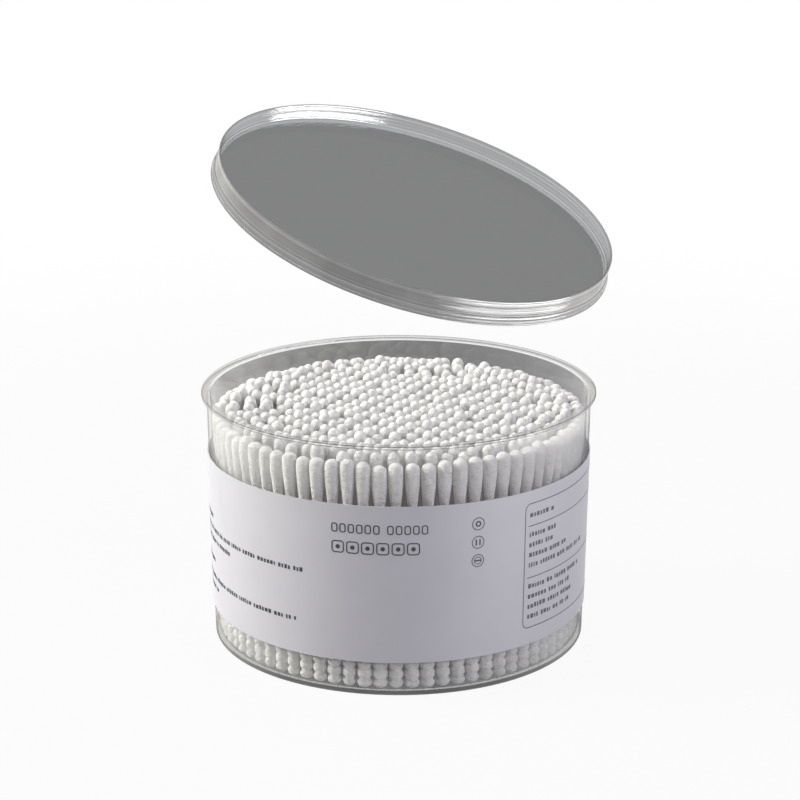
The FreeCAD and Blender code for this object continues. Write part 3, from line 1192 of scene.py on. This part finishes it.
    def row(self, start: float, end: float, low: float, height: float) -> None:
        """A row of small upright marks of uneven width with a gap after every few, like fine print."""
        at = start
        left_in_word = self.chance.integers(*self.word_marks)
        while at < end:
            width = self.chance.uniform(*self.mark_widths) * height
            foot = low + self.chance.uniform(*self.mark_rises) * height
            self.bar(at, foot, width, height * self.chance.uniform(*self.mark_heights))
            left_in_word -= 1
            at += width + self.mark_gap * height
            if left_in_word == 0:
                at += self.word_gap * height
                left_in_word = self.chance.integers(*self.word_marks)

    def title(self) -> None:
        """Two larger lines: small open boxes in two runs, and larger open boxes, each round a dot."""
        width, low, high = self.title_box_mm
        for start, boxes in self.title_runs:
            for number in range(boxes):
                left = start + number * self.title_pitch_mm
                self.outline((left, left + width, low, high), self.title_corner_mm, self.title_stroke_mm)
        width, low, high = self.second_box_mm
        for number in range(self.second_boxes):
            left = self.title_runs[0][0] + number * self.second_pitch_mm
            self.outline((left, left + width, low, high), self.second_corner_mm, self.title_stroke_mm)
            self.ring((left + width / 2, (low + high) / 2), *self.dot_ring)

    def icons(self) -> None:
        """Three rings, one above another, each round a small mark."""
        centres = [(self.icon_column_mm, height) for height in self.icon_heights_mm]
        for centre in centres:
            self.ring(centre, *self.icon_ring_mm)
        (dot_x, dot_z), (pair_x, pair_z), (minus_x, minus_z) = centres
        long, short = self.icon_bar_mm
        self.ring((dot_x, dot_z), *self.icon_inner)
        for start in self.icon_bar_starts_mm:
            self.bar(pair_x + start, pair_z - long / 2, short, long)
        self.bar(minus_x - long / 2, minus_z - short / 2, long, short)
        self.ring((minus_x, minus_z), *self.icon_minus_ring)

    def panel(self) -> None:
        """The ruled panel on the right, with its rows."""
        self.outline(self.panel_box_mm, self.panel_corner_mm, self.panel_stroke_mm)
        for height in self.rule_heights_mm:
            self.bar(self.rule_start_mm, height, *self.rule_size_mm)
        for start, end, low in self.panel_rows_mm:
            self.row(start, end, low, self.panel_print_mm)

    def small_print(self) -> None:
        """The rows on the left."""
        for start, end, low in self.left_rows_mm:
            self.row(start, end, low, self.left_print_mm)

    def build(self, ink: bpy.types.Material) -> None:
        """Makes the print as one thin piece.

        Args:
            ink: Finish of the print.
        """
        self.title()
        self.icons()
        self.panel()
        self.small_print()
        piece = joined(self.shapes).piece("label_print", smooth=False)
        piece.data.materials.append(ink)
        solid = piece.modifiers.new("ink", "SOLIDIFY")
        solid.thickness = self.ink_mm * MM
        solid.offset = 1.0
        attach(piece, TUB_BODY)
        log.info("%s: %d marks", piece.name, len(self.shapes))


# ---------------------------------------------------------------- tub and lid


def dress(name: str, material: bpy.types.Material) -> None:
    """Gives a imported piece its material, in place of any that it has."""
    mesh = frame["nodes"][name].data
    mesh.materials.clear()
    mesh.materials.append(material)
    log.info("%s: dressed", name)


@dataclass
class Tub:
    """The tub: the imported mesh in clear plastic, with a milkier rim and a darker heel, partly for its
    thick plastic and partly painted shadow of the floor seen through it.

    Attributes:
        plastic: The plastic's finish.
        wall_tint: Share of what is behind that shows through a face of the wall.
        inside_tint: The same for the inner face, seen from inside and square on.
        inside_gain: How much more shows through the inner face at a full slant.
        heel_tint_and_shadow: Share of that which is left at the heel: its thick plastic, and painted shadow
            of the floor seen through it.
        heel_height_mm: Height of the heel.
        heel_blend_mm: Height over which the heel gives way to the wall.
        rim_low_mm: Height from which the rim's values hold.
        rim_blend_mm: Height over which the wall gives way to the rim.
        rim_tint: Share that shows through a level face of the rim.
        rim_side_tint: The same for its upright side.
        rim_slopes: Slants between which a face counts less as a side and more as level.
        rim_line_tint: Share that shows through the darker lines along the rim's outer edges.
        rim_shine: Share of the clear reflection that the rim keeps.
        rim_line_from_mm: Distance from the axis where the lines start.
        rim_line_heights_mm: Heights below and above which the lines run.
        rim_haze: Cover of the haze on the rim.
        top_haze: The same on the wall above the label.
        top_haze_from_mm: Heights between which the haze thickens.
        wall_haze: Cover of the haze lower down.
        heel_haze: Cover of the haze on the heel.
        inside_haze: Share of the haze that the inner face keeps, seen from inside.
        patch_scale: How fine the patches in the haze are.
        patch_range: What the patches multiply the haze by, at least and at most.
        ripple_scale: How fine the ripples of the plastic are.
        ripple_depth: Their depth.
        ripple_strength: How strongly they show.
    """

    plastic: ClearPlastic = ClearPlastic("tub_plastic", most_haze=0.22)
    wall_tint: float = 0.94
    inside_tint: float = 0.21
    inside_gain: float = 0.22
    # darker heel: thick plastic, plus painted shadow of the floor seen through it
    heel_tint_and_shadow: float = 0.13
    heel_height_mm: float = 1.9
    heel_blend_mm: float = 0.3
    rim_low_mm: float = 78.75
    rim_blend_mm: float = 0.2
    rim_tint: float = 0.77
    rim_side_tint: float = 0.97
    rim_slopes: tuple[float, float] = (0.3, 0.7)
    rim_line_tint: float = 0.36
    rim_shine: float = 0.4
    rim_line_from_mm: float = 62.0
    rim_line_heights_mm: tuple[float, float] = (79.15, 79.75)
    rim_haze: float = 0.02
    top_haze: float = 0.046
    top_haze_from_mm: tuple[float, float] = (62.0, 70.0)
    wall_haze: float = 0.03
    heel_haze: float = 0.03
    inside_haze: float = 0.15
    patch_scale: float = 55.0
    patch_range: tuple[float, float] = (0.5, 1.5)
    ripple_scale: float = 35.0
    ripple_depth: float = 0.0004
    ripple_strength: float = 0.25

    def rim_part(self, graph: Graph, height: Socket, radius: Socket, normal: Socket) -> Socket:
        """Share that shows through the rim: by the lie of its faces, and less along its outer edges.

        Args:
            graph: The material's graph.
            height: Height above the tub's foot.
            radius: Distance from the tub's axis.
            normal: Direction of the face.

        Returns:
            The share.
        """
        under, over = self.rim_line_heights_mm
        below = graph.math("LESS_THAN", height, under * MM)
        above = graph.math("GREATER_THAN", height, over * MM)
        outermost = graph.math("GREATER_THAN", radius, self.rim_line_from_mm * MM)
        line = graph.math("MULTIPLY", graph.math("MAXIMUM", below, above), outermost)
        level = graph.math("ABSOLUTE", graph.node("SeparateXYZ", {0: normal}).outputs[2])
        share = graph.step(level, *self.rim_slopes, self.rim_side_tint, self.rim_tint)
        return graph.between(line, share, self.rim_line_tint)

    def wall_part(self, graph: Graph, height: Socket, seen_in: Socket) -> Socket:
        """Share that shows through the wall and the heel.

        Args:
            graph: The material's graph.
            height: Height above the tub's foot.
            seen_in: One on the inner face seen from inside, else nought.

        Returns:
            The share.
        """
        slant = graph.node("LayerWeight").outputs["Facing"]
        inside = graph.math("MULTIPLY_ADD", slant, self.inside_gain, self.inside_tint)
        heel_starts = (self.heel_height_mm - self.heel_blend_mm) * MM
        # the heel darkens for its thick plastic and as painted shadow of the floor seen through it
        heel = graph.step(height, heel_starts, self.heel_height_mm * MM, self.heel_tint_and_shadow, 1.0)
        return graph.math("MULTIPLY", graph.between(seen_in, self.wall_tint, inside), heel)

    def haze(self, graph: Graph, place: Socket, height: Socket, seen_in: Socket, rim: Socket) -> Socket:
        """Cover of the haze, in soft patches.

        Args:
            graph: The material's graph.
            place: The place on the tub.
            height: Height above the tub's foot.
            seen_in: One on the inner face seen from inside, else nought.
            rim: One on the rim, else nought.

        Returns:
            The cover.
        """
        low, high = (end * MM for end in self.top_haze_from_mm)
        wall = graph.step(height, low, high, self.wall_haze, self.top_haze)
        above = graph.math("GREATER_THAN", height, self.heel_height_mm * MM)
        cover = graph.between(above, self.heel_haze, graph.between(rim, wall, self.rim_haze))
        cover = graph.math("MULTIPLY", graph.patches(place, self.patch_scale, *self.patch_range), cover)
        return graph.math("MULTIPLY", cover, graph.step(seen_in, 0.0, 1.0, 1.0, self.inside_haze))

    def build(self, groups: Groups) -> None:
        """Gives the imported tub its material.

        Args:
            groups: The shared shader groups.
        """
        material, graph, out = new_material(self.plastic.name)
        place = graph.place()
        height, level, radius = graph.about_axis(place)
        faces = graph.node("NewGeometry").outputs
        fronts = graph.math("SUBTRACT", 1.0, faces["Backfacing"])
        seen_in = graph.math("MULTIPLY", graph.faces_in(faces["True Normal"], level), fronts)
        rim = graph.step(height, self.rim_low_mm * MM, (self.rim_low_mm + self.rim_blend_mm) * MM)
        wall_part = self.wall_part(graph, height, seen_in)
        tint = graph.between(rim, wall_part, self.rim_part(graph, height, radius, faces["True Normal"]))
        haze = self.haze(graph, place, height, seen_in, rim)
        bump = groups.ripples(graph, place, self.ripple_scale, self.ripple_depth, self.ripple_strength)
        shine = graph.step(rim, 0.0, 1.0, 1.0, self.rim_shine)
        graph.tree.links.new(self.plastic.shader(graph, tint, haze, bump, shine), out.inputs[0])
        dress("tub", material)


@dataclass
class Lid:
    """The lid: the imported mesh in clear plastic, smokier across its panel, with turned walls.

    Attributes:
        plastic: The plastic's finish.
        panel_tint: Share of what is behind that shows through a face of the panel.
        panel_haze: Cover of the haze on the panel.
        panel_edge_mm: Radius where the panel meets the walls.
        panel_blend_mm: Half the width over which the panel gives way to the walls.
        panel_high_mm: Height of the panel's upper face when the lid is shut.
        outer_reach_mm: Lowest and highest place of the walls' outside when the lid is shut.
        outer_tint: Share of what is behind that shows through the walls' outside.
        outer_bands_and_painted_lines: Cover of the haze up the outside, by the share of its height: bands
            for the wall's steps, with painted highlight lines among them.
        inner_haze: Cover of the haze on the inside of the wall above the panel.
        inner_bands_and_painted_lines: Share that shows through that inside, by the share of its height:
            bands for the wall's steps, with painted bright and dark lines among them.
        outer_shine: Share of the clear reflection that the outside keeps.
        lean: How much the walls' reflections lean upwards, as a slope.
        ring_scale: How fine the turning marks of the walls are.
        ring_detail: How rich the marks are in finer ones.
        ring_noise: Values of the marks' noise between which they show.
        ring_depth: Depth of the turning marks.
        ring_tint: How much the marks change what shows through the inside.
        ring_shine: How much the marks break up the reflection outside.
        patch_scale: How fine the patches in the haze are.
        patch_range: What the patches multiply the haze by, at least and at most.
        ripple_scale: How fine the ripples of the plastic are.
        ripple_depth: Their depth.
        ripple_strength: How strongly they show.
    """

    plastic: ClearPlastic = ClearPlastic(
        "lid_plastic", cast=(0.99, 1.0, 1.012), haze_power=0.3, most_haze=0.6
    )
    panel_tint: float = 0.35
    panel_haze: float = 0.005
    panel_edge_mm: float = 61.7
    panel_blend_mm: float = 0.2
    panel_high_mm: float = 81.15
    outer_reach_mm: tuple[float, float] = (78.55, 86.15)
    outer_tint: float = 0.1
    # haze bands up the outside: the wall's steps, with painted highlight lines
    outer_bands_and_painted_lines: Pairs = (
        (0.0, 0.12), (0.05, 0.14), (0.09, 0.25), (0.14, 0.23), (0.17, 0.16), (0.26, 0.17),
        (0.29, 0.24), (0.4, 0.21), (0.44, 0.32), (0.48, 0.22), (0.62, 0.24), (0.8, 0.22), (0.85, 0.3),
        (0.93, 0.31), (0.98, 0.2),
    )
    inner_haze: float = 0.02
    # tint bands up the inside: the wall's steps, with painted bright and dark lines
    inner_bands_and_painted_lines: Pairs = (
        (0.0, 0.2), (0.02, 0.5), (0.1, 0.5), (0.14, 0.31), (0.3, 0.36), (0.45, 0.31), (0.6, 0.35),
        (0.7, 0.31), (0.74, 0.44), (0.8, 0.42), (0.84, 0.3), (0.88, 0.35), (0.93, 0.28), (1.0, 0.2),
    )
    outer_shine: float = 0.6
    lean: float = 0.53
    ring_scale: float = 900.0
    ring_detail: float = 2.0
    ring_noise: tuple[float, float] = (0.35, 0.65)
    ring_depth: float = 0.0005
    ring_tint: float = 0.06
    ring_shine: float = 0.5
    patch_scale: float = 70.0
    patch_range: tuple[float, float] = (0.85, 1.15)
    ripple_scale: float = 25.0
    ripple_depth: float = 0.0003
    ripple_strength: float = 0.2

    def home(self) -> Matrix:
        """The turn and shift that take the lid from where it is held to where it shuts."""
        joint = frame["joints"][0]
        pivot = Vector(joint["pos_m"])
        turn = Matrix.Rotation(math.radians(joint["range_deg"][0]), 4, Vector(joint["axis"]))
        return Matrix.Translation(pivot) @ turn @ Matrix.Translation(-pivot)

    def by_face(
        self, graph: Graph, faces: tuple[Socket, Socket, Socket], values: tuple[Any, Any, Any, Any]
    ) -> Socket:
        """One value for each kind of face.

        Args:
            graph: The material's graph.
            faces: Whether a face is on a wall, looks inwards, and is seen from behind.
            values: The values of the panel, of the walls' outside and inside, and of the back of
                any of the walls' faces.

        Returns:
            The value that holds.
        """
        on_wall, inwards, behind = faces
        panel, outside, inside, back = values
        front = graph.between(inwards, outside, inside)
        return graph.between(on_wall, panel, graph.between(behind, front, back))

    def relief(
        self, groups: Groups, graph: Graph, place: Socket, height: Socket, rings: Socket, wall: Socket
    ) -> Socket:
        """Direction of the faces: the walls lean and carry turning marks, and ripples lie over all.

        Args:
            groups: The shared shader groups.
            graph: The material's graph.
            place: The place on the shut lid.
            height: Its height.
            rings: The turning marks.
            wall: One on the walls, nought on the panel.

        Returns:
            The direction.
        """
        rise = graph.math("MULTIPLY", graph.math("MULTIPLY", height, wall), -self.lean)
        slope = graph.node("Bump", {"Height": rise, "Distance": 1.0, "Strength": 1.0})
        marks = graph.node("Bump", {
            "Height": graph.math("MULTIPLY", rings, wall), "Distance": self.ring_depth, "Strength": 1.0,
            "Normal": slope.outputs[0],
        })
        return groups.ripples(
            graph, place, self.ripple_scale, self.ripple_depth, self.ripple_strength, Normal=marks.outputs[0]
        )

    def build(self, groups: Groups) -> None:
        """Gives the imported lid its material.

        The panel is told from the walls by the distance from the lid's own axis, and the turning
        marks run round that axis.

        Args:
            groups: The shared shader groups.
        """
        material, graph, out = new_material(self.plastic.name)
        home = self.home()
        turn = home.to_euler()
        place = graph.node("Mapping", {
            "Vector": graph.place(), "Location": home.to_translation(), "Rotation": turn,
        }).outputs[0]
        height, level, radius = graph.about_axis(place)
        edge, blend = self.panel_edge_mm * MM, self.panel_blend_mm * MM
        wall = graph.step(radius, edge - blend, edge + blend)
        geometry = graph.node("NewGeometry").outputs
        normal = graph.node("Mapping", {"Vector": geometry["True Normal"], "Rotation": turn}).outputs[0]
        faces = wall, graph.faces_in(normal, level), geometry["Backfacing"]
        foot = self.panel_high_mm * MM
        low, high = (reach * MM for reach in self.outer_reach_mm)
        up_outer = graph.math("DIVIDE", graph.math("SUBTRACT", height, low), high - low)
        up_inner = graph.math("DIVIDE", graph.math("SUBTRACT", height, foot), high - foot)
        stack = graph.math("GREATER_THAN", height, foot)
        ring_inputs = {"W": height, "Scale": self.ring_scale, "Detail": self.ring_detail}
        rings = graph.node("TexNoise", ring_inputs, noise_dimensions="1D").outputs[0]
        marked = graph.step(rings, *self.ring_noise, 1.0 - self.ring_tint, 1.0 + self.ring_tint)
        # bands up the inside: the wall's steps, with painted bright and dark lines
        inner_tint = graph.math("MULTIPLY", graph.ramp(up_inner, self.inner_bands_and_painted_lines), marked)
        inner_tint = graph.between(stack, 1.0, inner_tint)
        inner_haze = graph.math("MULTIPLY", stack, self.inner_haze)
        tint = self.by_face(graph, faces, (self.panel_tint, self.outer_tint, inner_tint, 1.0))
        # bands of haze up the outside: the wall's steps, with painted highlight lines
        outer_haze = graph.ramp(up_outer, self.outer_bands_and_painted_lines)
        haze = self.by_face(graph, faces, (self.panel_haze, outer_haze, inner_haze, 0.0))
        haze = graph.math("MULTIPLY", graph.patches(place, self.patch_scale, *self.patch_range), haze)
        broken = graph.step(rings, *self.ring_noise, 1.0 - self.ring_shine, 1.0 + self.ring_shine)
        outer_shine = graph.math("MULTIPLY", broken, self.outer_shine)
        shine = self.by_face(graph, faces, (1.0, outer_shine, 1.0, 1.0))
        bump = self.relief(groups, graph, place, height, rings, wall)
        graph.tree.links.new(self.plastic.shader(graph, tint, haze, bump, shine), out.inputs[0])
        dress("lid", material)


# ---------------------------------------------------------------- studio


@dataclass(frozen=True)
class Lamp:
    """A rectangular soft lamp that looks at the object.

    Attributes:
        name: Name of the lamp.
        turn: Where it stands, in degrees from the front of the object, to the right.
        rise: How high it stands, in degrees above the object.
        reach: How far it stands from the object, in metres.
        size: Its width and height, in metres.
        level: What it gives to a surface square to it, as a share of full white.
        use: Whether it lights matt surfaces, shows in gloss, or both.
        colour: Colour of its light.
    """

    name: str
    turn: float
    rise: float
    reach: float
    size: tuple[float, float]
    level: float
    use: LampUse = LampUse.BOTH
    colour: Triple = (1.0, 1.0, 1.0)

    def build(self, aim: Vector) -> None:
        """Hangs the lamp and turns it to the aim.

        An area lamp of power P at distance d gives a white surface P / (pi d)^2.

        Args:
            aim: The place that it looks at.
        """
        data = bpy.data.lights.new(self.name, "AREA")
        data.shape = "RECTANGLE"
        data.size, data.size_y = self.size
        data.energy = self.level * (math.pi * self.reach) ** 2
        data.color = self.colour
        lamp = bpy.data.objects.new(self.name, data)
        bpy.context.scene.collection.objects.link(lamp)
        turn, rise = math.radians(self.turn), math.radians(self.rise)
        way = Vector((math.sin(turn) * math.cos(rise), -math.cos(turn) * math.cos(rise), math.sin(rise)))
        lamp.location = aim + way * self.reach
        lamp.rotation_euler = (-way).to_track_quat("-Z", "Y").to_euler()
        lamp.visible_diffuse, lamp.visible_glossy = self.use.value


@dataclass
class Studio:
    """Floor, backdrop colour, lamps and camera."""

    camera_place_mm: Triple = (0.4, -735.7, 297.9)
    camera_target_mm: Triple = (0.4, 0.0, 75.6)
    camera_lens_mm: float = 109.2
    camera_sensor_mm: float = 36.0
    aim_mm: Triple = (0.0, 0.0, 75.0)
    floor_size: float = 12.0
    floor_near: float = 0.25
    floor_far: float = 0.6
    floor_white: float = 0.94
    floor_grey: float = 0.4
    ambient: float = 0.13
    lamps: tuple[Lamp, ...] = (
        Lamp("key", -93.0, 26.0, 1.3, (0.7, 0.7), 1.58, LampUse.MATT, (1.0, 0.995, 0.925)),
        Lamp("top", 170.0, 70.0, 1.3, (0.8, 0.8), 0.28),
        Lamp("right", 50.0, 28.0, 1.3, (0.8, 0.8), 0.5, LampUse.MATT, (0.93, 0.915, 1.0)),
        Lamp("glint", 70.0, 16.0, 1.1, (1.25, 0.9), 6.0, LampUse.GLOSS),
    )

    def camera(self) -> None:
        """The camera, at eye height above the tub."""
        data = bpy.data.cameras.new("camera")
        data.lens = self.camera_lens_mm
        data.sensor_width = self.camera_sensor_mm
        eye = bpy.data.objects.new("camera", data)
        bpy.context.scene.collection.objects.link(eye)
        place, target = Vector(self.camera_place_mm) * MM, Vector(self.camera_target_mm) * MM
        eye.location = place
        eye.rotation_euler = (target - place).to_track_quat("-Z", "Y").to_euler()
        bpy.context.scene.camera = eye

    def seen_directly(self, graph: Graph) -> Socket:
        """One for rays from the eye and for those that gloss or glass sends on, else nought."""
        path = graph.node("LightPath")
        names = ("Is Camera Ray", "Is Glossy Ray", "Is Transmission Ray")
        eye, gloss, glass = (path.outputs[name] for name in names)
        return graph.math("MAXIMUM", graph.math("MAXIMUM", eye, gloss), glass)

    def world(self) -> None:
        """A white surround for the eye, and a soft even light for everything else."""
        world = bpy.data.worlds.new("surround")
        world.use_nodes = True
        world.node_tree.nodes.clear()
        graph = Graph(world.node_tree)
        strength = graph.step(self.seen_directly(graph), 0.0, 1.0, self.ambient, 1.0)
        back = graph.node("Background", {"Color": rgba((1.0, 1.0, 1.0)), "Strength": strength})
        out = graph.node("OutputWorld")
        graph.tree.links.new(back.outputs[0], out.inputs[0])
        bpy.context.scene.world = world

    def floor(self) -> None:
        """A pale floor that shows white to the eye, less so close by, where shadows fall."""
        half = self.floor_size / 2
        corners = np.array([[-half, -half, 0.0], [half, -half, 0.0], [-half, half, 0.0], [half, half, 0.0]])
        floor = Surface(corners, grid_quads(2, 2, closed=False)).piece("floor", smooth=False)
        material, graph, out = new_material("floor")
        diffuse = graph.node("BsdfDiffuse", {"Color": rgba((self.floor_grey,) * 3)})
        white = graph.node("Emission", {"Color": rgba((1.0, 1.0, 1.0)), "Strength": 1.0})
        away = graph.node("VectorMath", {0: graph.place()}, operation="LENGTH").outputs["Value"]
        cover = graph.step(away, self.floor_near, self.floor_far, self.floor_white, 1.0)
        share = graph.math("MULTIPLY", self.seen_directly(graph), cover)
        mixed = graph.node("MixShader", {0: share, 1: diffuse.outputs[0], 2: white.outputs[0]})
        graph.tree.links.new(mixed.outputs[0], out.inputs[0])
        floor.data.materials.append(material)

    def build(self) -> None:
        """Makes the whole studio."""
        self.camera()
        self.world()
        self.floor()
        for lamp in self.lamps:
            lamp.build(Vector(self.aim_mm) * MM)
        log.info("studio: %d lamps", len(self.lamps))


def main() -> None:
    """Builds every piece in order."""
    logging.basicConfig(level=logging.INFO, format="%(name)s: %(message)s")
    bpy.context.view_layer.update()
    bpy.context.scene.view_settings.view_transform = "Standard"
    groups = Groups()
    Studio().build()
    Swabs().build(Cotton().material(groups), Bamboo().material(groups))
    dress("label", LABEL_FILM.material(groups))
    LabelPrint().build(LABEL_INK.material(groups))
    Tub().build(groups)
    Lid().build(groups)


if __name__ == "__main__":
    main()
